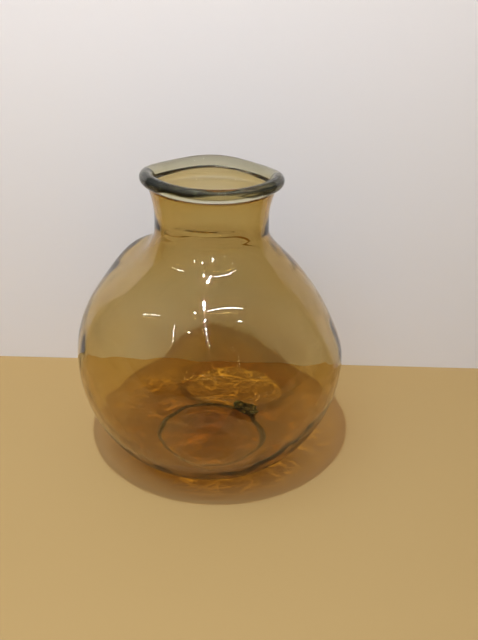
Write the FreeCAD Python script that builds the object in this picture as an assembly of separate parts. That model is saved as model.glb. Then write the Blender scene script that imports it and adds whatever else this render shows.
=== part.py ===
import FreeCAD, Part
import math
import os

# A free-blown balloon vase in thick tinted glass: a round belly, a short straight neck, a heavy
# rolled lip and a pushed-up base that stands on a ground ring.
# Millimetres, +Z up. The origin is the middle of the foot, on the surface the vase stands on.

# Driving dimensions
TOTAL_HEIGHT = 300.0
BELLY_RADIUS = 135.5
BELLY_HEIGHT = 112.0
FOOT_RADIUS = 61.0
NECK_RADIUS = 55.0
NECK_BASE_HEIGHT = 243.0
BORE_RADIUS = 50.0
BORE_TOP_HEIGHT = 268.0

# Wall thickness, measured square to the outer face; the shoulder stays thin until near the neck,
# more so with a higher thickening power
WALL_AT_BASE = 4.6
WALL_AT_BELLY = 3.2
WALL_AT_NECK = NECK_RADIUS - BORE_RADIUS
NECK_THICKENING = 2.0

# Underside: a ground ring round a shallow pushed-up dome
RING_INNER_RADIUS = 49.0
PUNT_HEIGHT = 12.0
FLOOR_HEIGHT = 22.0
BASE_PAD_RADIUS = 78.0
RING_GLASS_INNER = 47.0
RING_GLASS_OUTER = 64.0
RING_GLASS_HEIGHT = 2.4

# Lower outline, from the foot to the belly: one cubic curve, by its end directions and their pull
FOOT_RISE_ANGLE = math.radians(11.0)
FOOT_PULL = 46.0
BELLY_PULL = 50.0

# Upper outline, between the belly and the neck: (radius, height) where the shoulder turns
SHOULDER_POINTS = ((128.2, 145.0), (115.0, 172.0), (96.6, 195.0), (77.6, 212.0), (61.2, 228.5))
# The shoulder was blown a little to one side: (height, sideways shift of the section's centre)
SHOULDER_LEAN = ((112.0, 0.0), (140.0, -2.4), (170.0, -4.2), (192.0, -3.0), (218.0, 2.0), (243.0, 0.0))
SHOULDER_SECTIONS = 14

# Neck: a slight waist, then a flare that carries the lip
NECK_TOP_HEIGHT = 290.8
NECK_TOP_OUTER_RADIUS = 60.8
NECK_TOP_INNER_RADIUS = 54.6
WAIST_RADIUS = 54.6
WAIST_HEIGHT = 254.0
FLARE_HEIGHT = 272.0
FLARE_RADIUS = 55.8

# Lip: a round bead of glass laid round the mouth by hand, so its loop is a little oval and
# four-cornered, and it rises to a point at the back
LIP_BEAD_RADIUS = 6.3
LIP_RADIUS = 57.8
LIP_OVAL = 2.0
LIP_CORNERS = 1.0
LIP_TILT_BACK = 1.8
LIP_TILT_LEFT = 0.8
LIP_POINT = 0.8
LIP_CORNER_WAVE = 0.5
LIP_SECTIONS = 32


def vec(x, y, z):
    return FreeCAD.Vector(x, y, z)


def profile_point(radius, height):
    """A point of an outline drawn in the XZ plane."""
    return vec(radius, 0, height)


def line(start, end):
    return Part.LineSegment(start, end).toShape()


def revolve(edges):
    """A solid of revolution round Z from the closed outline that the edges make."""
    face = Part.Face(Part.Wire(Part.__sortEdges__(edges)))
    return face.revolve(vec(0, 0, 0), vec(0, 0, 1), 360)


def lower_outline():
    """The outer face of the glass from the foot ring up to the belly."""
    curve = Part.BezierCurve()
    rise = vec(math.cos(FOOT_RISE_ANGLE), 0, math.sin(FOOT_RISE_ANGLE))
    foot = profile_point(FOOT_RADIUS, 0)
    belly = profile_point(BELLY_RADIUS, BELLY_HEIGHT)
    curve.setPoles([foot, foot + rise * FOOT_PULL, belly - vec(0, 0, BELLY_PULL), belly])
    return curve


def upper_outline():
    """The outer face from the belly to the bottom of the neck, upright at both ends."""
    points = [profile_point(BELLY_RADIUS, BELLY_HEIGHT)]
    points += [profile_point(radius, height) for radius, height in SHOULDER_POINTS]
    points += [profile_point(NECK_RADIUS, NECK_BASE_HEIGHT)]
    curve = Part.BSplineCurve()
    curve.interpolate(Points=points, InitialTangent=vec(0, 0, 1), FinalTangent=vec(0, 0, 1))
    return curve


def samples(curve, count):
    """Evenly spaced parameters of a curve, from its start to its end."""
    first = curve.FirstParameter
    span = curve.LastParameter - first
    return [first + span * step / count for step in range(count + 1)]


def inward(curve, parameter, thickness):
    """The point of the inner face that lies square to the outer outline."""
    tangent = curve.tangent(parameter)[0]
    return curve.value(parameter) + vec(-tangent.z, 0, tangent.x) * thickness


def blend(start, end, share):
    """A value that moves smoothly from start to end as share goes from 0 to 1."""
    return start + (end - start) * (1 - math.cos(math.pi * share)) / 2


def inner_floor_curve():
    """The inside of the glass from the middle of the raised floor to the belly."""
    outer = lower_outline()
    steps = samples(outer, 6)
    points = [profile_point(0, FLOOR_HEIGHT)]
    for index, parameter in enumerate(steps[:-1]):
        thickness = blend(WALL_AT_BASE, WALL_AT_BELLY, index / (len(steps) - 1))
        points.append(inward(outer, parameter, thickness))
    points.append(profile_point(BELLY_RADIUS - WALL_AT_BELLY, BELLY_HEIGHT))
    curve = Part.BSplineCurve()
    curve.interpolate(Points=points, InitialTangent=vec(1, 0, 0), FinalTangent=vec(0, 0, 1))
    return curve


def lower_glass():
    """The whole lower half: raised base, foot ring and bowl, up to the belly."""
    ring_inner = profile_point(RING_INNER_RADIUS, 0)
    ring_outer = profile_point(FOOT_RADIUS, 0)
    punt_top = profile_point(0, PUNT_HEIGHT)
    floor_top = profile_point(0, FLOOR_HEIGHT)
    half_way = profile_point(RING_INNER_RADIUS * 0.55, PUNT_HEIGHT * 0.72)
    belly_inner = profile_point(BELLY_RADIUS - WALL_AT_BELLY, BELLY_HEIGHT)
    belly_outer = profile_point(BELLY_RADIUS, BELLY_HEIGHT)
    edges = [Part.Arc(punt_top, half_way, ring_inner).toShape(), line(ring_inner, ring_outer)]
    edges += [lower_outline().toShape(), line(belly_outer, belly_inner)]
    edges += [inner_floor_curve().toShape(), line(floor_top, punt_top)]
    return revolve(edges)


def make_lower_parts():
    """The lower glass, parted into the foot ring, the thick base and the thin bowl round it."""
    glass = lower_glass()
    core = Part.makeCylinder(BASE_PAD_RADIUS, BELLY_HEIGHT)
    ring_space = Part.makeCylinder(RING_GLASS_OUTER, RING_GLASS_HEIGHT)
    ring_space = ring_space.cut(Part.makeCylinder(RING_GLASS_INNER, RING_GLASS_HEIGHT))
    foot_ring = glass.common(ring_space)
    base_pad = glass.common(core).cut(ring_space)
    return foot_ring, base_pad, glass.cut(core)


def lean_curve():
    """Sideways shift of the shoulder against height, as a curve in the XZ plane."""
    curve = Part.BSplineCurve()
    points = [vec(shift, 0, height) for height, shift in SHOULDER_LEAN]
    curve.interpolate(Points=points, InitialTangent=vec(0, 0, 1), FinalTangent=vec(0, 0, 1))
    return curve.toShape()


def lean_at(curve_shape, height):
    """The shift at one height, where the lean curve crosses that level."""
    level = line(vec(-BELLY_RADIUS, 0, height), vec(BELLY_RADIUS, 0, height))
    return curve_shape.distToShape(level)[1][0][0].x


def section_ring(lean, point):
    """One level circle of the shoulder, through a point of an outline."""
    circle = Part.Circle(vec(lean_at(lean, point.z), 0, point.z), vec(0, 0, 1), point.x)
    return Part.Wire(circle.toShape())


def make_shoulder():
    """The wall from the belly to the neck, drawn through level circles with shifted centres."""
    outline = upper_outline()
    lean = lean_curve()
    outer_rings = []
    inner_rings = []
    for index, parameter in enumerate(samples(outline, SHOULDER_SECTIONS)):
        share = index / SHOULDER_SECTIONS
        thickness = blend(WALL_AT_BELLY, WALL_AT_NECK, share ** NECK_THICKENING)
        outer_rings.append(section_ring(lean, outline.value(parameter)))
        inner_rings.append(section_ring(lean, inward(outline, parameter, thickness)))
    outer = Part.makeLoft(outer_rings, True, False, False)
    inner = Part.makeLoft(inner_rings, True, False, False)
    return outer.cut(inner)


def make_neck(lip_wrap):
    """The neck: a true cylinder inside, slightly waisted outside, flared to a rim under the lip."""
    bottom_outer = profile_point(NECK_RADIUS, NECK_BASE_HEIGHT)
    top_outer = profile_point(NECK_TOP_OUTER_RADIUS, NECK_TOP_HEIGHT)
    waist = profile_point(WAIST_RADIUS, WAIST_HEIGHT)
    flare_start = profile_point(FLARE_RADIUS, FLARE_HEIGHT)
    outer = Part.BSplineCurve()
    points = [bottom_outer, waist, flare_start, top_outer]
    outer.interpolate(Points=points, InitialTangent=vec(0, 0, 1), FinalTangent=vec(0.5, 0, 1))
    bore_bottom = profile_point(BORE_RADIUS, NECK_BASE_HEIGHT)
    bore_top = profile_point(BORE_RADIUS, BORE_TOP_HEIGHT)
    top_inner = profile_point(NECK_TOP_INNER_RADIUS, NECK_TOP_HEIGHT)
    inner = Part.BezierCurve()
    inner.setPoles([bore_top, bore_top + vec(0, 0, 10), top_inner])
    edges = [outer.toShape(), line(top_outer, top_inner), inner.toShape()]
    edges += [line(bore_top, bore_bottom), line(bore_bottom, bottom_outer)]
    return revolve(edges).cut(lip_wrap)


def lip_height(turn):
    """How far the middle of the bead stands above its mean level, at an angle round the mouth."""
    tilt = LIP_TILT_BACK * math.sin(turn) - LIP_TILT_LEFT * math.cos(turn)
    return tilt - LIP_POINT * math.sin(3 * turn) + LIP_CORNER_WAVE * math.cos(4 * turn)


def lip_centre(turn):
    """The middle of the bead at an angle round the mouth."""
    radius = LIP_RADIUS + LIP_OVAL * math.cos(2 * turn) + LIP_CORNERS * math.cos(4 * turn)
    height = TOTAL_HEIGHT - LIP_BEAD_RADIUS + lip_height(turn) - lip_height(math.pi / 2)
    return vec(radius * math.cos(turn), radius * math.sin(turn), height)


def make_lip_wrap():
    """The bead: round sections along its closed loop, highest at the back of the mouth."""
    turns = [2 * math.pi * step / LIP_SECTIONS for step in range(LIP_SECTIONS)]
    path = Part.BSplineCurve()
    path.interpolate(Points=[lip_centre(turn) for turn in turns], PeriodicFlag=True)
    rings = []
    for parameter in samples(path, LIP_SECTIONS)[:-1]:
        direction = path.tangent(parameter)[0]
        circle = Part.Circle(path.value(parameter), direction, LIP_BEAD_RADIUS)
        rings.append(Part.Wire(circle.toShape()))
    return Part.makeLoft(rings, True, False, True)


def main():
    foot_ring, base_pad, bowl = make_lower_parts()
    lip_wrap = make_lip_wrap()
    nodes = {
        "foot_ring": foot_ring,
        "base_pad": base_pad,
        "bowl": bowl,
        "shoulder": make_shoulder(),
        "neck": make_neck(lip_wrap),
        "lip_wrap": lip_wrap,
    }
    os.makedirs("parts", exist_ok=True)
    for name, shape in nodes.items():
        shape.exportStep("parts/" + name + ".step")
        print(name, shape.ShapeType, len(shape.Solids), shape.isValid(), round(shape.Volume / 1000, 1), "cm3")


main()
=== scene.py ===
import math

import bmesh
import bpy
import numpy as np
from mathutils import Matrix, Vector, noise


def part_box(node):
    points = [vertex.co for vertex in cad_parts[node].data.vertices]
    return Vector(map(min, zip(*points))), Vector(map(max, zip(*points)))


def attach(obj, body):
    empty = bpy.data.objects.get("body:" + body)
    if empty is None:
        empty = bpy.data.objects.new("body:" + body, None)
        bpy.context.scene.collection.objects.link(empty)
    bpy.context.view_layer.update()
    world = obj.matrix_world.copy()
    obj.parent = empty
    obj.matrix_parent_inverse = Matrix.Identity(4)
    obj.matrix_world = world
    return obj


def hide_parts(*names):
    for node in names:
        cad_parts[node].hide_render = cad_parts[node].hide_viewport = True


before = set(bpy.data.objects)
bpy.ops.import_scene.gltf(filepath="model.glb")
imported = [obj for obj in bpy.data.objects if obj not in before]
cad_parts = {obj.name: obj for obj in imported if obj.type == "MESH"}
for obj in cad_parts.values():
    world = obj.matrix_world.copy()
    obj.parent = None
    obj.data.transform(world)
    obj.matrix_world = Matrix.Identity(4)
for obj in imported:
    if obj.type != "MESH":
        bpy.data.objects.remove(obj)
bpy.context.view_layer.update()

# A free-blown vase in amber-smoke glass. The glass is one continuous skin from the foot to the rim,
# because fused glass has no faces inside it. The lip's bead, a dark layer inside the bead that is painted
# shade for the bead's dark refraction, the foot's ground ring and the dark lump beside the ring are
# pieces of their own.
# Metres, in the part's frame: +Z up, the origin in the middle of the foot.

MM = 0.001
bowl_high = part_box("bowl")[1]
neck_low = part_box("neck")[0]
lip_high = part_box("lip_wrap")[1]
pad_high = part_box("base_pad")[1]

# Levels and radii that the frame gives
BELLY_RADIUS = bowl_high.x
BELLY_HEIGHT = bowl_high.z
NECK_BASE = neck_low.z
LIP_TOP = lip_high.z
FLOOR_TOP = pad_high.z

# The rest of the blown shape, as in the part's design
FOOT_RADIUS = 61 * MM
RING_INNER_RADIUS = 49 * MM
PUNT_TOP = 12 * MM
NECK_RADIUS = 55 * MM
BORE_RADIUS = 50 * MM
BORE_TOP = 268 * MM
WALL_AT_BASE = 4.6 * MM
WALL_AT_BELLY = 3.2 * MM
WALL_AT_NECK = NECK_RADIUS - BORE_RADIUS
BEAD_RADIUS = 6.3 * MM
LIP_RADIUS = 57.8 * MM

# The shoulder's outline as radius and height, and its sideways lean as height and shift, in mm
SHOULDER_POINTS = ((128.2, 145.0), (115.0, 172.0), (96.6, 195.0), (77.6, 212.0), (61.2, 228.5))
SHOULDER_LEAN = ((112.0, 0.0), (140.0, -2.4), (170.0, -4.2), (192.0, -3.0), (218.0, 2.0), (243.0, 0.0))

# The lip's loop in mm: how oval and how four-cornered it is, how much higher it lies at the back and
# at the left, how far it rises to a point behind, and how far its corners rise
LIP_OVAL = 2.0
LIP_CORNERS = 1.0
LIP_TILT_BACK = 1.8
LIP_TILT_LEFT = 0.8
LIP_POINT = 0.8
LIP_CORNER_WAVE = 0.5

# The rim that the bead lies on, and the foot's face above the ground ring
RIM_HEIGHT = 284 * MM
RIM_OUTER_RADIUS = 58.2 * MM
RIM_INNER_RADIUS = 53.2 * MM
FUSE_DEPTH = 0.05 * MM
RING_SEAT = 0.4 * MM

# How many points each stretch of the skin's section has, and how many sections go round
DOME_POINTS = 22
SEAT_POINTS = 7
LOWER_POINTS = 60
UPPER_POINTS = 110
NECK_POINTS = 18
FLARE_POINTS = 26
BORE_POINTS = 28
INNER_LOWER_POINTS = 80
RIM_POINTS = 9
AROUND = 256

GLASS_IOR = 1.5


# ---- curves -----------------------------------------------------------------------------------------

def smoothstep(low, high, x):
    """0 below low, 1 above high, and a smooth rise between."""
    t = np.clip((np.asarray(x, float) - low) / (high - low), 0.0, 1.0)
    return t * t * (3 - 2 * t)


def ease(start, end, share):
    """From start to end as share goes from 0 to 1, level at both ends."""
    return start + (end - start) * (1 - np.cos(math.pi * share)) / 2


def bezier(points, count):
    """Points along a cubic Bezier curve."""
    p = np.array(points, float)
    t = np.linspace(0, 1, count)[:, None]
    return (1 - t) ** 3 * p[0] + 3 * (1 - t) ** 2 * t * p[1] + 3 * (1 - t) * t * t * p[2] + t ** 3 * p[3]


def spline(points, count, start=None, end=None):
    """A smooth curve through points: a cubic spline on the distance along them, with end directions."""
    p = np.array(points, float)
    s = np.concatenate([[0.0], np.cumsum(np.linalg.norm(np.diff(p, axis=0), axis=1))])
    n = len(p)
    h = np.diff(s)
    a = np.zeros((n, n))
    b = np.zeros((n, p.shape[1]))
    for i in range(1, n - 1):
        a[i, i - 1:i + 2] = h[i - 1], 2 * (h[i - 1] + h[i]), h[i]
        b[i] = 6 * ((p[i + 1] - p[i]) / h[i] - (p[i] - p[i - 1]) / h[i - 1])
    a[0, 0] = a[-1, -1] = 1.0
    if start is not None:
        a[0, :2] = 2 * h[0], h[0]
        b[0] = 6 * ((p[1] - p[0]) / h[0] - np.array(start, float))
    if end is not None:
        a[-1, -2:] = h[-1], 2 * h[-1]
        b[-1] = 6 * (np.array(end, float) - (p[-1] - p[-2]) / h[-1])
    m = np.linalg.solve(a, b)
    t = np.linspace(0, s[-1], count)
    i = np.clip(np.searchsorted(s, t, side="right") - 1, 0, n - 2)
    u = (t - s[i])[:, None]
    hi = h[i][:, None]
    slope = (p[i + 1] - p[i]) / hi - hi * (2 * m[i] + m[i + 1]) / 6
    return p[i] + u * slope + u * u * m[i] / 2 + u ** 3 * (m[i + 1] - m[i]) / (6 * hi)


def inset(curve, thickness):
    """The curve moved square to itself, towards the axis, by a thickness at each point."""
    d = np.gradient(curve, axis=0)
    d /= np.linalg.norm(d, axis=1)[:, None]
    return curve + np.stack([-d[:, 1], d[:, 0]], axis=1) * np.asarray(thickness)[:, None]


# ---- the lip's loop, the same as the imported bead's --------------------------------------------------

def lip_wave(turn):
    """How far the loop rises and falls."""
    tilt = LIP_TILT_BACK * np.sin(turn) - LIP_TILT_LEFT * np.cos(turn)
    return (tilt - LIP_POINT * np.sin(3 * turn) + LIP_CORNER_WAVE * np.cos(4 * turn)) * MM


def lip_radius(turn):
    """The loop's radius: a little oval and four-cornered."""
    return LIP_RADIUS + (LIP_OVAL * np.cos(2 * turn) + LIP_CORNERS * np.cos(4 * turn)) * MM


def lip_height(turn):
    """The loop's height: the bead's top touches the lip's highest level at the back."""
    return LIP_TOP - BEAD_RADIUS + lip_wave(turn) - lip_wave(math.pi / 2)


def lip_centre(turn):
    radius = float(lip_radius(turn))
    return Vector((radius * math.cos(turn), radius * math.sin(turn), float(lip_height(turn))))


# ---- the skin's section -----------------------------------------------------------------------------

def underside():
    """From the middle of the pushed-up dome out to the foot ring's outer edge."""
    roundness = 1.25
    t = np.linspace(0, 1, DOME_POINTS)
    dome_height = np.maximum(PUNT_TOP * np.cos(t * math.pi / 2) ** roundness, RING_SEAT)
    dome = np.stack([RING_INNER_RADIUS * t, dome_height], axis=1)
    seat_radius = np.linspace(RING_INNER_RADIUS, FOOT_RADIUS, SEAT_POINTS + 1)[1:]
    seat = np.stack([seat_radius, np.full(SEAT_POINTS, RING_SEAT)], axis=1)
    seat[-1, 1] = 0.0
    return np.concatenate([dome, seat])


def outer_lower():
    """From the foot's edge out and up to the belly."""
    rise = math.radians(11)
    foot_pull = 46 * MM
    belly_pull = 50 * MM
    return bezier([(FOOT_RADIUS, 0), (FOOT_RADIUS + foot_pull * math.cos(rise), foot_pull * math.sin(rise)),
                   (BELLY_RADIUS, BELLY_HEIGHT - belly_pull), (BELLY_RADIUS, BELLY_HEIGHT)], LOWER_POINTS)


def outer_upper():
    """From the belly over the shoulder to the bottom of the neck."""
    points = [(BELLY_RADIUS, BELLY_HEIGHT)]
    points += [(r * MM, z * MM) for r, z in SHOULDER_POINTS]
    points += [(NECK_RADIUS, NECK_BASE)]
    return spline(points, UPPER_POINTS, start=(0, 1), end=(0, 1))


def neck_outer():
    """From the bottom of the neck, in to its waist and out to the rim."""
    waist = (54.6 * MM, 254 * MM)
    flare = (55.8 * MM, 272 * MM)
    rim = (RIM_OUTER_RADIUS, RIM_HEIGHT)
    return spline([(NECK_RADIUS, NECK_BASE), waist, flare, rim], NECK_POINTS, start=(0, 1))


def neck_inner():
    """From the rim, in to the bore and down to the bottom of the neck."""
    flare_pull = (50.6 * MM, 280 * MM)
    bore_pull = (BORE_RADIUS, 274 * MM)
    flare = bezier([(RIM_INNER_RADIUS, RIM_HEIGHT), flare_pull, bore_pull, (BORE_RADIUS, BORE_TOP)],
                   FLARE_POINTS)
    bore_height = np.linspace(BORE_TOP, NECK_BASE, BORE_POINTS + 1)[1:]
    bore = np.stack([np.full(BORE_POINTS, BORE_RADIUS), bore_height], axis=1)
    return np.concatenate([flare, bore])


def inner_floor():
    """From the belly's inner face down the bowl to the middle of the raised floor."""
    outer = outer_lower()
    share = np.linspace(0, 1, len(outer))
    keep_every = 10
    wall = inset(outer, ease(WALL_AT_BASE, WALL_AT_BELLY, share))[::keep_every]
    points = [(0.0, FLOOR_TOP)] + [tuple(p) for p in wall]
    points.append((BELLY_RADIUS - WALL_AT_BELLY, BELLY_HEIGHT))
    return spline(points, INNER_LOWER_POINTS, start=(1, 0), end=(0, 1))[::-1]


def outline():
    """The section's outer half, from the dome to the rim, and its inner half, from the rim to the floor."""
    upper = outer_upper()
    share = np.linspace(0, 1, len(upper))
    upper_inner = inset(upper, ease(WALL_AT_BELLY, WALL_AT_NECK, share ** 2))[::-1]
    outer = [underside(), outer_lower()[1:], upper[1:], neck_outer()[1:]]
    inner = [neck_inner(), upper_inner[1:], inner_floor()[1:]]
    return np.concatenate(outer), np.concatenate(inner)


def lean(z):
    """Sideways shift of the section at a height: the shoulder was blown a little to the left."""
    points = [(shift * MM, height * MM) for height, shift in SHOULDER_LEAN]
    curve = spline(points, 200, start=(0, 1), end=(0, 1))
    return np.interp(z, curve[:, 1], curve[:, 0], left=0.0, right=0.0)


# How much of the bead's wandering in and out the rim's two edges follow
OUTER_EDGE_FOLLOWS = 0.5
INNER_EDGE_FOLLOWS = 0.75


def rim_top(turn):
    """The rim's top, sunk a hair into the bead, from its outer edge round to its inner edge."""
    centre_r, centre_z = lip_radius(turn), lip_height(turn)
    reach = BEAD_RADIUS - FUSE_DEPTH
    outer_r = RIM_OUTER_RADIUS + OUTER_EDGE_FOLLOWS * (centre_r - LIP_RADIUS)
    inner_r = RIM_INNER_RADIUS + INNER_EDGE_FOLLOWS * (centre_r - LIP_RADIUS)
    first = math.asin((outer_r - centre_r) / reach)
    last = math.asin((inner_r - centre_r) / reach)
    angles = np.linspace(first, last, RIM_POINTS)
    return np.stack([centre_r + reach * np.sin(angles), centre_z - reach * np.cos(angles)], axis=1)


def section(turn, outer, inner):
    """One section of the skin at an angle round the vase, joined to the bead's own height there."""
    rim = rim_top(turn)
    blend_from = 262 * MM
    out, inn = outer.copy(), inner.copy()
    for part, tip, end in ((out, outer[-1], rim[0]), (inn, inner[0], rim[-1])):
        share = smoothstep(blend_from, tip[1], part[:, 1])[:, None]
        part += share * (end - tip)
    return np.concatenate([out, rim[1:-1], inn])


# ---- the hand-blown unevenness ----------------------------------------------------------------------

# Marks: size, angle round the vase, height, half width as an angle, half height. The bulge moves both
# faces of the wall outward. The others are on the inner face: ripples, two ridges and a crease.
BULGE = (11.0 * MM, math.radians(153), 205 * MM, 0.30, 19 * MM)
RIPPLES = (0.12 * MM, math.radians(-80), 212 * MM, 1.2, 10 * MM)
RIPPLE_PER_RADIAN = 2.1 * MM
FAR_RIDGE = (0.9 * MM, math.radians(90), 205.5 * MM, 0.66, 1.8 * MM)
TOOL_LINE = (2.2 * MM, math.radians(-97), 254 * MM, 0.38, 1.2 * MM)
CREASE = (2.2 * MM, math.radians(90), 279.5 * MM, 1.1, 1.7 * MM)

# Slow waves: how deep they are, how many noise steps to a metre, and where in the noise they start.
# The wall's waves lie inside the even outline, by as much as their middle says.
WALL_WANDER = 0.35 * MM
WALL_WANDER_SCALE = 11.0
WALL_WANDER_START = 3.7
WALL_WANDER_MIDDLE = 0.9
INNER_WANDER = 0.45 * MM
INNER_WANDER_SCALE = 26.0
INNER_WANDER_START = 9.1
FINE_WANDER_SHARE = 0.4
FINE_WANDER_SCALE = 60.0
FINE_WANDER_START = 1.3

# The underside and the first point beside it stay even
EVEN_POINTS = DOME_POINTS + SEAT_POINTS + 1


def mark(turn, height, size, where, level, wide, tall):
    """A smooth swelling at an angle and a height, as high as size in its middle."""
    away = np.angle(np.exp(1j * (turn - where)))
    return size * np.exp(-(away / wide) ** 2 - ((height - level) / tall) ** 2)


def wander(points, scale, start):
    """Slow smooth noise at each point, from about -1 to 1."""
    flat = points.reshape(-1, 3) * scale + start
    return np.array([noise.noise(Vector(p)) for p in flat]).reshape(points.shape[:-1])


def shape_skin(rows, turns, outer_count):
    """Makes the even skin hand-blown: each point moves square to its section by a small amount."""
    step = np.gradient(rows, axis=1)
    step /= np.maximum(np.linalg.norm(step, axis=2), 1e-9)[:, :, None]
    outward = np.stack([step[:, :, 1], -step[:, :, 0]], axis=2)
    r, z = rows[:, :, 0], rows[:, :, 1]
    turn = np.broadcast_to(turns[:, None], r.shape)
    place = np.stack([r * np.cos(turn), r * np.sin(turn), z], axis=2)
    is_inner = np.where(np.arange(rows.shape[1]) < outer_count, 0.0, 1.0)
    sign = 1.0 - 2.0 * is_inner
    above_foot = smoothstep(2 * MM, 14 * MM, z)
    below_rim = 1 - smoothstep(255 * MM, 270 * MM, z)

    waves = wander(place, WALL_WANDER_SCALE, WALL_WANDER_START) - WALL_WANDER_MIDDLE
    both_faces = WALL_WANDER * waves * above_foot * below_rim + mark(turn, z, *BULGE)

    fine = FINE_WANDER_SHARE * wander(place, FINE_WANDER_SCALE, FINE_WANDER_START)
    inner_face = INNER_WANDER * (wander(place, INNER_WANDER_SCALE, INNER_WANDER_START) + fine)
    inner_face += np.sin(z / RIPPLE_PER_RADIAN) * mark(turn, z, *RIPPLES)
    inner_face += mark(turn, z, *FAR_RIDGE) + mark(turn, z, *TOOL_LINE)
    inner_face = inner_face * below_rim - mark(turn, z, *CREASE)

    moved = both_faces * sign + inner_face * is_inner
    moved[:, :EVEN_POINTS] = 0.0
    result = rows + outward * moved[:, :, None]
    result[:, :, 0] = np.clip(result[:, :, 0], 0.0, BELLY_RADIUS)
    return result


# ---- meshes -----------------------------------------------------------------------------------------

def finish_mesh(bm, name):
    """A smooth object from the mesh that was built."""
    mesh = bpy.data.meshes.new(name)
    bm.to_mesh(mesh)
    bm.free()
    mesh.polygons.foreach_set("use_smooth", [True] * len(mesh.polygons))
    obj = bpy.data.objects.new(name, mesh)
    bpy.context.scene.collection.objects.link(obj)
    return obj


def join_rings(bm, rings):
    """Faces from each ring of points to the next, all the way round."""
    sides = len(rings[0])
    for here, beyond in zip(rings, rings[1:] + rings[:1]):
        for k in range(sides):
            m = (k + 1) % sides
            bm.faces.new((here[k], beyond[k], beyond[m], here[m]))
    bmesh.ops.recalc_face_normals(bm, faces=bm.faces)


def skin_mesh():
    """The whole blown wall, closed: the sections side by side, with one point at each end on the axis."""
    outer, inner = outline()
    turns = np.arange(AROUND) * 2 * math.pi / AROUND
    rows = np.array([section(t, outer, inner) for t in turns])
    rows[:, 1:-1] = shape_skin(rows, turns, len(outer) + RIM_POINTS // 2)[:, 1:-1]
    count = rows.shape[1]
    r, z = rows[:, :, 0], rows[:, :, 1]
    x = r * np.cos(turns)[:, None] + lean(z)
    y = r * np.sin(turns)[:, None]
    co = np.stack([x, y, z], axis=2)
    bm = bmesh.new()
    bottom = bm.verts.new(co[0, 0])
    top = bm.verts.new(co[0, -1])
    grid = [[bm.verts.new(co[i, j]) for j in range(1, count - 1)] for i in range(AROUND)]
    for i in range(AROUND):
        k = (i + 1) % AROUND
        bm.faces.new((bottom, grid[k][0], grid[i][0]))
        for j in range(count - 3):
            bm.faces.new((grid[i][j], grid[k][j], grid[k][j + 1], grid[i][j + 1]))
        bm.faces.new((grid[i][-1], grid[k][-1], top))
    bmesh.ops.recalc_face_normals(bm, faces=bm.faces)
    return bm


def bead_path(turn):
    """Radius of the bead, and how far its middle is moved inward and up: not at all."""
    return BEAD_RADIUS, 0.0, 0.0


# The dark layer inside the bead: painted shade that stands for the bead's dark refraction
SHADE_LAYER_RADIUS = 2.7 * MM
THREAD_RADIUS = 1.2 * MM
PINCH_PLACE = math.radians(-82)
PINCH_DEPTH = 0.72
PINCH_WIDTH = 0.26
LEAST_COVER = 0.4 * MM


def shade_layer_path(turn):
    """The painted-shade layer in the bead: wide at the sides and in front, pinched at the middle front,
    thin behind.
    """
    front = max(0.0, -math.sin(turn))
    back = max(0.0, math.sin(turn))
    from_pinch = math.remainder(turn - PINCH_PLACE, 2 * math.pi)
    pinch = 1.0 - PINCH_DEPTH * math.exp(-(from_pinch / PINCH_WIDTH) ** 2)
    uneven = 1.0 + 0.16 * math.sin(7 * turn + 0.5) + 0.10 * math.sin(12 * turn)
    wide = SHADE_LAYER_RADIUS * float(smoothstep(-0.30, 0.20, -math.sin(turn))) * pinch * uneven
    thread = THREAD_RADIUS * (0.15 + float(smoothstep(0.1, 0.9, back)))
    # From the bead's middle towards the mouth, and up: low and inward behind, high in front
    inward = (2.2 * front + 3.3 * back - 1.4) * MM
    raised = (2.6 * front - 2.9 * back - 1.0) * MM
    room = BEAD_RADIUS - math.hypot(inward, raised) - LEAST_COVER
    return min(wide + thread, room), inward, raised


def lip_tube(path, sides):
    """A closed tube along the lip's loop, with the radius and the offset from the loop that path gives."""
    bm = bmesh.new()
    rings = []
    nearby = 1e-3
    angles = [2 * math.pi * k / sides for k in range(sides)]
    for i in range(AROUND):
        t = i * 2 * math.pi / AROUND
        before, here, after = [lip_centre(t + d) for d in (-nearby, 0, nearby)]
        along = (after - before).normalized()
        side = along.cross(Vector((0, 0, 1))).normalized()
        up = side.cross(along)
        radius, inward, raised = path(t)
        middle = here - side * inward + up * raised
        spokes = [side * math.cos(a) + up * math.sin(a) for a in angles]
        rings.append([bm.verts.new(middle + spoke * radius) for spoke in spokes])
    join_rings(bm, rings)
    return bm


# The ground band under the foot
GROUND_INNER = RING_INNER_RADIUS - 6 * MM
GROUND_OUTER = FOOT_RADIUS - 0.4 * MM
GROUND_INNER_LOW = 0.1 * MM
GROUND_INNER_HIGH = 0.36 * MM


def ground_ring_mesh():
    """The ground ring under the foot, a thin flat band. Its material says where the dark band of grime and
    painted contact shade lies.
    """
    bm = bmesh.new()
    rings = []
    corners = ((GROUND_INNER, GROUND_INNER_LOW), (GROUND_OUTER, 0.0),
               (GROUND_OUTER, RING_SEAT), (GROUND_INNER, GROUND_INNER_HIGH))
    for i in range(AROUND):
        t = i * 2 * math.pi / AROUND
        direction = Vector((math.cos(t), math.sin(t), 0))
        rings.append([bm.verts.new(direction * r + Vector((0, 0, z))) for r, z in corners])
    join_rings(bm, rings)
    return bm


# The dark lump beside the ring
LUMP_PLACE = Vector((41 * MM, 43 * MM, 7 * MM))
LUMP_HALF_SIZE = Vector((20 * MM, 8 * MM, 6 * MM))
LUMP_SLOW = 0.45
LUMP_QUICK = 0.16


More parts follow.
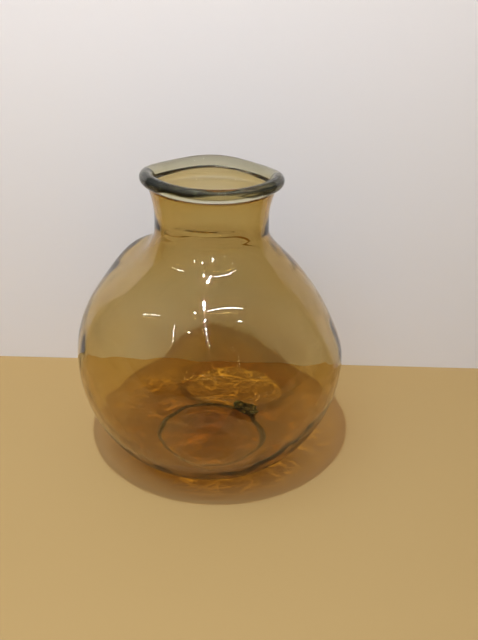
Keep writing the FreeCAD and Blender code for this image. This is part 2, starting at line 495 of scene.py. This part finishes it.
def lump_mesh():
    """A ragged lump of dark glass, half sunk in the floor at the back right, lying along the ring."""
    bm = bmesh.new()
    bmesh.ops.create_icosphere(bm, subdivisions=5, radius=1.0)
    along_ring = Matrix.Rotation(math.atan2(LUMP_PLACE.x, -LUMP_PLACE.y), 3, "Z")
    for vert in bm.verts:
        slow = noise.noise(vert.co * 1.6 + Vector((3.1, 0, 0)))
        quick = noise.noise(vert.co * 4.5)
        size = 1.0 + LUMP_SLOW * slow + LUMP_QUICK * quick
        vert.co = LUMP_PLACE + along_ring @ (vert.co * size * LUMP_HALF_SIZE)
    return bm


# ---- materials --------------------------------------------------------------------------------------

def new_material(name, roughness):
    """A material, its nodes and its main shader."""
    mat = bpy.data.materials.new(name)
    mat.use_nodes = True
    shader = mat.node_tree.nodes["Principled BSDF"]
    shader.inputs["Roughness"].default_value = roughness
    return mat, mat.node_tree, shader


def maths(nt, kind, a, b=0.0):
    """A math node's output, for two inputs that are numbers or sockets."""
    node = nt.nodes.new("ShaderNodeMath")
    node.operation = kind
    for socket, value in zip(node.inputs, (a, b)):
        if isinstance(value, (int, float)):
            socket.default_value = value
        else:
            nt.links.new(value, socket)
    return node.outputs[0]


def length_socket(nt, x, y):
    """The distance that two sockets give as its sideways and forward parts."""
    squares = [maths(nt, "MULTIPLY", side, side) for side in (x, y)]
    return maths(nt, "SQRT", maths(nt, "ADD", *squares))


def place_socket(nt):
    """Each place in the object's own metres."""
    return nt.nodes.new("ShaderNodeTexCoord").outputs["Object"]


def axis_sockets(nt, where):
    """The X, Y and Z of a place."""
    split = nt.nodes.new("ShaderNodeSeparateXYZ")
    nt.links.new(where, split.inputs[0])
    return split.outputs[0], split.outputs[1], split.outputs[2]


def noise_socket(nt, where, scale, detail=4.0, distortion=0.0):
    """A noise value, from 0 to 1, at each place."""
    texture = nt.nodes.new("ShaderNodeTexNoise")
    texture.inputs["Scale"].default_value = scale
    texture.inputs["Detail"].default_value = detail
    texture.inputs["Distortion"].default_value = distortion
    nt.links.new(where, texture.inputs["Vector"])
    return texture.outputs[0]


def ramp_socket(nt, value, start, end, low=0.0, high=1.0):
    """A value mapped from start..end to low..high, and held there beyond the ends."""
    node = nt.nodes.new("ShaderNodeMapRange")
    node.inputs["From Min"].default_value = start
    node.inputs["From Max"].default_value = end
    node.inputs["To Min"].default_value = low
    node.inputs["To Max"].default_value = high
    nt.links.new(value, node.inputs["Value"])
    return node.outputs[0]


def tone_socket(nt, value, start, dark, end, light):
    """A colour between dark and light as the value goes from start to end."""
    ramp = nt.nodes.new("ShaderNodeValToRGB")
    for element, position, colour in zip(ramp.color_ramp.elements, (start, end), (dark, light)):
        element.position = position
        element.color = (*colour, 1)
    nt.links.new(value, ramp.inputs[0])
    return ramp.outputs[0]


# The dark band on the ground ring, partly the worn ring's own grime and partly painted contact shade where
# the foot
# meets the floor: its middle radius, how far it fades, its even core, how far it strays in and out, and how
# far behind the axis it is darkest
GRIME_AND_SHADE_RADIUS = 57.0 * MM
GRIME_AND_SHADE_REACH = 4.5 * MM
GRIME_AND_SHADE_CORE = 0.6 * MM
GRIME_AND_SHADE_WOBBLE = 7 * MM
GRIME_AND_SHADE_BACK = 45 * MM


def ground_material():
    """Glass ground dull on a soft band, with a dark band that is partly grime and partly painted contact
    shade, darkest at the back.
    """
    mat, nt, shader = new_material("ground_glass", 0.75)
    where = place_socket(nt)
    x, y, _ = axis_sockets(nt, where)
    patches = noise_socket(nt, where, 130.0, 5.0)
    slow = noise_socket(nt, where, 38.0, 2.0)
    tone = tone_socket(nt, patches, 0.35, (0.010, 0.018, 0.010), 0.7, (0.06, 0.065, 0.025))
    nt.links.new(tone, shader.inputs["Base Color"])
    bump = nt.nodes.new("ShaderNodeBump")
    bump.inputs["Distance"].default_value = 0.3 * MM
    nt.links.new(patches, bump.inputs["Height"])
    nt.links.new(bump.outputs[0], shader.inputs["Normal"])

    wobble = maths(nt, "MULTIPLY", maths(nt, "SUBTRACT", slow, 0.5), GRIME_AND_SHADE_WOBBLE)
    radius = maths(nt, "ADD", length_socket(nt, x, y), wobble)
    away = maths(nt, "ABSOLUTE", maths(nt, "SUBTRACT", radius, GRIME_AND_SHADE_RADIUS))
    band = ramp_socket(nt, away, GRIME_AND_SHADE_CORE, GRIME_AND_SHADE_REACH, 1.0, 0.0)
    back = ramp_socket(nt, y, -GRIME_AND_SHADE_BACK, GRIME_AND_SHADE_BACK, 0.30, 0.85)
    uneven = ramp_socket(nt, patches, 0.35, 0.6, 0.55, 1.0)
    # The dark band's mask: partly the ring's grime, partly painted shade where the foot meets the floor
    grime_and_shade = maths(nt, "MULTIPLY", maths(nt, "MULTIPLY", band, back), uneven)
    nt.links.new(grime_and_shade, shader.inputs["Alpha"])
    return mat


def dark_glass_material():
    """Glass so dark that it looks solid: green-black, with smoky patches."""
    mat, nt, shader = new_material("dark_glass", 0.2)
    where = place_socket(nt)
    patches = noise_socket(nt, where, 220.0)
    tone = tone_socket(nt, patches, 0.4, (0.004, 0.010, 0.006), 0.72, (0.10, 0.075, 0.020))
    nt.links.new(tone, shader.inputs["Base Color"])
    cover = ramp_socket(nt, noise_socket(nt, where, 120.0, 2.0), 0.5, 0.62, 1.0, 0.35)
    nt.links.new(cover, shader.inputs["Alpha"])
    return mat


# How much of each colour of light gets past a face of the glass: less low down, because the thick base
# sends light aside
SHADE_LOW = 15 * MM
SHADE_HIGH = 80 * MM
LIGHT_PAST_BASE = (0.70, 0.62, 0.58, 1)
LIGHT_PAST_WALL = (0.995, 0.995, 0.995, 1)


def absorption(nt, absorbed):
    """A tint that grows with thickness: absorbed is how strongly each colour is taken, per metre."""
    density = max(absorbed) * 1.02
    volume = nt.nodes.new("ShaderNodeVolumeAbsorption")
    volume.inputs["Color"].default_value = (*[1 - a / density for a in absorbed], 1)
    volume.inputs["Density"].default_value = density
    return volume.outputs[0]


def clear_to_light(nt):
    """What the lamps' light meets on its way to the floor: a clear face, with a tint low down."""
    clear = nt.nodes.new("ShaderNodeBsdfTransparent")
    passed = nt.nodes.new("ShaderNodeMix")
    passed.data_type = "RGBA"
    passed.inputs["A"].default_value = LIGHT_PAST_BASE
    passed.inputs["B"].default_value = LIGHT_PAST_WALL
    height = axis_sockets(nt, place_socket(nt))[2]
    nt.links.new(ramp_socket(nt, height, SHADE_LOW, SHADE_HIGH), passed.inputs["Factor"])
    nt.links.new(passed.outputs["Result"], clear.inputs[0])
    return clear.outputs[0]


def glass_material(name, absorbed):
    """Clear glass, tinted by its thickness."""
    mat, nt, shader = new_material(name, 0.0)
    output = nt.nodes["Material Output"]
    shader.inputs["Base Color"].default_value = (1, 1, 1, 1)
    shader.inputs["IOR"].default_value = GLASS_IOR
    shader.inputs["Transmission Weight"].default_value = 1.0
    nt.links.new(absorption(nt, absorbed), output.inputs["Volume"])
    mix = nt.nodes.new("ShaderNodeMixShader")
    path = nt.nodes.new("ShaderNodeLightPath")
    nt.links.new(path.outputs["Is Shadow Ray"], mix.inputs[0])
    nt.links.new(shader.outputs[0], mix.inputs[1])
    nt.links.new(clear_to_light(nt), mix.inputs[2])
    nt.links.new(mix.outputs[0], output.inputs["Surface"])
    return mat


def lip_shade_material():
    """Painted shade for the bead's dark refraction: smoky grey, in streaks that follow the lip."""
    mat, nt, shader = new_material("lip_painted_shade", 0.3)
    stretch = nt.nodes.new("ShaderNodeMapping")
    stretch.inputs["Scale"].default_value = (18.0, 18.0, 420.0)
    nt.links.new(place_socket(nt), stretch.inputs["Vector"])
    streaks = noise_socket(nt, stretch.outputs[0], 1.0)
    tone = tone_socket(nt, streaks, 0.40, (0.012, 0.015, 0.018), 0.75, (0.16, 0.15, 0.14))
    nt.links.new(tone, shader.inputs["Base Color"])
    nt.links.new(ramp_socket(nt, streaks, 0.42, 0.66, 0.95, 0.0), shader.inputs["Alpha"])
    return mat


# ---- the pieces -------------------------------------------------------------------------------------

# How strongly each glass absorbs red, green and blue, per metre
BODY_ABSORBS = (42, 77, 195)
LIP_ABSORBS = (30, 33, 58)
BEAD_SIDES = 40
SHADE_LAYER_SIDES = 24

skin = finish_mesh(skin_mesh(), "blown_glass")
skin.data.materials.append(glass_material("body_glass", BODY_ABSORBS))
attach(skin, "root")
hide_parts("base_pad", "bowl", "shoulder", "neck")

lip = finish_mesh(lip_tube(bead_path, BEAD_SIDES), "lip_bead")
lip.data.materials.append(glass_material("lip_glass", LIP_ABSORBS))
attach(lip, "root")
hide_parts("lip_wrap")

# A dark tube inside the bead: painted shade for the bead's dark refraction
shade_layer = finish_mesh(lip_tube(shade_layer_path, SHADE_LAYER_SIDES), "lip_shade_layer")
shade_layer.data.materials.append(lip_shade_material())
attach(shade_layer, "root")

lump = finish_mesh(lump_mesh(), "base_lump")
lump.data.materials.append(dark_glass_material())
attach(lump, "root")

ring = finish_mesh(ground_ring_mesh(), "ground_ring")
ring.data.polygons.foreach_set("use_smooth", [False] * len(ring.data.polygons))
ring.data.materials.append(ground_material())
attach(ring, "root")
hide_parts("foot_ring")


# ---- stage ------------------------------------------------------------------------------------------

def matt(name, colour):
    mat, _, shader = new_material(name, 0.7)
    shader.inputs["Base Color"].default_value = (*colour, 1)
    return mat


def one_sided_matt(name, colour):
    """Paint that is there from the front only; from behind the face is clear."""
    mat = matt(name, colour)
    nt = mat.node_tree
    clear = nt.nodes.new("ShaderNodeBsdfTransparent")
    mix = nt.nodes.new("ShaderNodeMixShader")
    geometry = nt.nodes.new("ShaderNodeNewGeometry")
    nt.links.new(geometry.outputs["Backfacing"], mix.inputs[0])
    nt.links.new(nt.nodes["Principled BSDF"].outputs[0], mix.inputs[1])
    nt.links.new(clear.outputs[0], mix.inputs[2])
    nt.links.new(mix.outputs[0], nt.nodes["Material Output"].inputs["Surface"])
    return mat


def plane(name, corners, material):
    """A four-cornered face of the stage."""
    mesh = bpy.data.meshes.new(name)
    mesh.from_pydata(corners, [], [(0, 1, 2, 3)])
    obj = bpy.data.objects.new(name, mesh)
    obj.data.materials.append(material)
    bpy.context.scene.collection.objects.link(obj)
    return obj


def level_face(x, y, z):
    """Corners of a level rectangle at height z, between the two values of x and of y."""
    return [(x[0], y[0], z), (x[1], y[0], z), (x[1], y[1], z), (x[0], y[1], z)]


def upright_face(start, end, height):
    """Corners of an upright rectangle that stands on the line from start to end."""
    return [(*start, 0), (*end, 0), (*end, height), (*start, height)]


FLOOR_Z = -0.1 * MM
FLOOR_SPAN = (-4, 4)
plane("floor", level_face(FLOOR_SPAN, FLOOR_SPAN, FLOOR_Z), matt("floor_paint", (0.372, 0.250, 0.098)))

BACKDROP_SIDES = (-0.45, 0.45)
BACKDROP_Y = 0.167
BACKDROP_HEIGHT = 0.46
backdrop_left, backdrop_right = [(x, BACKDROP_Y) for x in BACKDROP_SIDES]
backdrop_paint = one_sided_matt("backdrop_paint", (0.74, 0.72, 0.73))
plane("backdrop", upright_face(backdrop_left, backdrop_right, BACKDROP_HEIGHT), backdrop_paint)


# ---- lamps ------------------------------------------------------------------------------------------

def area(name, place, aim, size, power, size_y=None, glossy=True):
    """A rectangular lamp that shines at a point. A glossy one shows in the glass too."""
    data = bpy.data.lights.new(name, "AREA")
    data.shape = "RECTANGLE"
    data.size = size
    data.size_y = size_y or size
    data.energy = power
    obj = bpy.data.objects.new(name, data)
    obj.location = place
    obj.rotation_euler = (Vector(aim) - Vector(place)).to_track_quat("-Z", "Y").to_euler()
    bpy.context.scene.collection.objects.link(obj)
    obj.visible_camera = False
    obj.visible_glossy = glossy
    obj.visible_transmission = glossy
    return obj


KEY_PLACE = (-0.12, -0.49, 1.5)
KEY_SIZE = 0.025
KEY_POWER = 13.0
SOFTBOX_PLACE = (-0.50, -0.55, 1.5)
SOFTBOX_SIZE = 0.9
SOFTBOX_POWER = 10.6
area("key", KEY_PLACE, (0, 0, 0), KEY_SIZE, KEY_POWER)
area("softbox", SOFTBOX_PLACE, (0, 0, 0.1), SOFTBOX_SIZE, SOFTBOX_POWER, glossy=False)

LAMP_HEIGHT = 1.6
STRIP_RADIANCE = 70

# The row of small lamps whose highlights run down the middle of the body
ROW_START = (-0.11, -0.62)
ROW_RUN = (0.22, -1.2)
ROW_SHARES = (0.0, 0.22, 0.45, 0.6, 0.8, 1.0)


def strip(name, start, end, radiance, wide=0.012):
    """A slim lamp under the ceiling from one point to another, for a highlight on the glass."""
    a, b = Vector((*start, LAMP_HEIGHT)), Vector((*end, LAMP_HEIGHT))
    middle = (a + b) / 2
    length = (b - a).length
    power = radiance * length * wide * math.pi
    lamp = area(name, middle, middle + Vector((0, 0, -1)), length, power, size_y=wide)
    lamp.rotation_euler = (0, 0, math.atan2(b.y - a.y, b.x - a.x))


strip("strip_left", (-1.55, -0.21), (-1.02, -0.50), STRIP_RADIANCE)
strip("strip_right", (-0.02, -0.66), (0.80, -0.56), STRIP_RADIANCE)
strip("strip_front", (-0.76, -0.91), (-1.02, -1.70), STRIP_RADIANCE)
strip("spot_far_right", (0.93, -1.85), (0.98, -1.85), 150, 0.04)
strip("spot_far_left", (-2.25, -1.80), (-2.2, -1.80), 150, 0.05)
for i, share in enumerate(ROW_SHARES):
    x, y = ROW_START[0] + ROW_RUN[0] * share, ROW_START[1] + ROW_RUN[1] * share
    strip(f"spot_row_{i}", (x, y), (x + 0.03, y), 500 - 200 * share, 0.03)
strip("spot_back_star", (-0.285, -0.65), (-0.26, -0.65), 700, 0.025)
strip("spot_back_streak", (0.80, -0.87), (0.92, -0.85), 220)
strip("spot_side_0", (-0.45, -1.25), (-0.42, -1.25), 400, 0.03)
strip("spot_side_1", (0.36, -1.45), (0.40, -1.45), 400, 0.03)

# The fine bright lines: how many noise steps to a metre and how thin, then where they lie on the floor
GLINT_POWER = 360.0
GLINT_COLOUR = (0.9, 1.0, 0.72)
GLINT_LINES = ((24.0, 0.012), (46.0, 0.016), (85.0, 0.024))
GLINT_SQUEEZE = 0.5
GLINT_SHARPNESS = 1.5
GLINT_MIDDLE = (0.010, 0.036)
GLINT_REACH = 0.137
GLINT_EDGE = 6.0


def floor_sockets(nt, direction, lamp_place):
    """Where a ray from the lamp meets the floor."""
    along = axis_sockets(nt, direction)
    slopes = [maths(nt, "DIVIDE", along[axis], along[2]) for axis in (0, 1)]
    runs = [maths(nt, "MULTIPLY", slope, -lamp_place[2]) for slope in slopes]
    return [maths(nt, "ADD", run, start) for run, start in zip(runs, lamp_place)]


def line_socket(nt, where, scale, width):
    """1 on the lines where a noise crosses its middle value, fading to 0 beside them."""
    value = noise_socket(nt, where, scale, 1.5, 0.8)
    off = maths(nt, "ABSOLUTE", maths(nt, "SUBTRACT", value, 0.5))
    near = maths(nt, "SUBTRACT", 1.0, maths(nt, "DIVIDE", off, width))
    return maths(nt, "POWER", maths(nt, "MAXIMUM", near, 0.0), GLINT_SHARPNESS)


def glint_lamp():
    """A small lamp whose light falls in fine bright lines, as light bent by wavy glass does."""
    data = bpy.data.lights.new("glints", "POINT")
    data.energy = GLINT_POWER
    data.color = GLINT_COLOUR
    data.shadow_soft_size = 0.0
    data.use_nodes = True
    nt = data.node_tree
    direction = nt.nodes.new("ShaderNodeTexCoord").outputs["Normal"]
    x, y = floor_sockets(nt, direction, KEY_PLACE)
    where = nt.nodes.new("ShaderNodeCombineXYZ")
    nt.links.new(maths(nt, "MULTIPLY", x, GLINT_SQUEEZE), where.inputs[0])
    nt.links.new(y, where.inputs[1])
    lines = 0.0
    for scale, width in GLINT_LINES:
        lines = maths(nt, "ADD", lines, line_socket(nt, where.outputs[0], scale, width))
    from_middle = [maths(nt, "SUBTRACT", side, middle) for side, middle in zip((x, y), GLINT_MIDDLE)]
    away = maths(nt, "DIVIDE", length_socket(nt, *from_middle), GLINT_REACH)
    near = maths(nt, "SUBTRACT", 1.0, maths(nt, "POWER", away, GLINT_EDGE))
    inside = maths(nt, "MAXIMUM", near, 0.0)
    nt.links.new(maths(nt, "MULTIPLY", lines, inside), nt.nodes["Emission"].inputs["Strength"])
    obj = bpy.data.objects.new("glints", data)
    obj.location = KEY_PLACE
    bpy.context.scene.collection.objects.link(obj)
    obj.visible_camera = False
    obj.visible_glossy = False
    obj.visible_transmission = False


glint_lamp()

# ---- the dark room that the glass shows in its reflections, beyond the lit worktop ------------------

ROOM_SIDES = (-3.0, 3.0)
ROOM_FRONT = -3.5
ROOM_BACK = 1.2
ROOM_HEIGHT = 1.75
WORKTOP_EDGE = -0.30
ROOM_FLOOR_Z = 1 * MM
front_left, front_right = [(x, ROOM_FRONT) for x in ROOM_SIDES]
back_left, back_right = [(x, ROOM_BACK) for x in ROOM_SIDES]
dark_cloth = matt("dark_cloth", (0.03, 0.03, 0.03))
for name, corners in (
        ("room_floor", level_face(ROOM_SIDES, (ROOM_FRONT, WORKTOP_EDGE), ROOM_FLOOR_Z)),
        ("room_above", level_face(ROOM_SIDES, (ROOM_FRONT, ROOM_BACK), ROOM_HEIGHT)),
        ("room_front", upright_face(front_left, front_right, ROOM_HEIGHT)),
        ("room_back", upright_face(back_left, back_right, ROOM_HEIGHT)),
        ("room_left", upright_face(front_left, back_left, ROOM_HEIGHT)),
        ("room_right", upright_face(front_right, back_right, ROOM_HEIGHT))):
    wall = plane(name, corners, dark_cloth)
    wall.visible_camera = False
    wall.visible_diffuse = False
    wall.visible_shadow = False
    wall.visible_transmission = False

WORLD_COLOUR = (0.75, 0.75, 0.78, 1)
WORLD_STRENGTH = 0.15
world = bpy.data.worlds.new("world")
world.use_nodes = True
world.node_tree.nodes["Background"].inputs[0].default_value = WORLD_COLOUR
world.node_tree.nodes["Background"].inputs[1].default_value = WORLD_STRENGTH
bpy.context.scene.world = world

# ---- camera -----------------------------------------------------------------------------------------

CAMERA_PLACE = Vector((0.0283, -0.5958, 0.4383))
DEGREES_DOWN = 26.17
DEGREES_ROLLED = 1.5
SENSOR_WIDTH = 36.0
LENS_LENGTH = 36.56
camera_data = bpy.data.cameras.new("camera")
camera_data.sensor_width = SENSOR_WIDTH
camera_data.lens = LENS_LENGTH
camera = bpy.data.objects.new("camera", camera_data)
bpy.context.scene.collection.objects.link(camera)
tilt = Matrix.Rotation(math.radians(90 - DEGREES_DOWN), 4, "X")
roll = Matrix.Rotation(math.radians(DEGREES_ROLLED), 4, "Z")
camera.matrix_world = Matrix.Translation(CAMERA_PLACE) @ (tilt @ roll)
bpy.context.scene.camera = camera

# Light crosses many glass faces, so the paths are long
GLASS_BOUNCES = 24
cycles = bpy.context.scene.cycles
cycles.max_bounces = GLASS_BOUNCES
cycles.transmission_bounces = GLASS_BOUNCES
cycles.transparent_max_bounces = GLASS_BOUNCES
cycles.caustics_reflective = False
cycles.caustics_refractive = False
bpy.context.scene.view_settings.view_transform = "Standard"
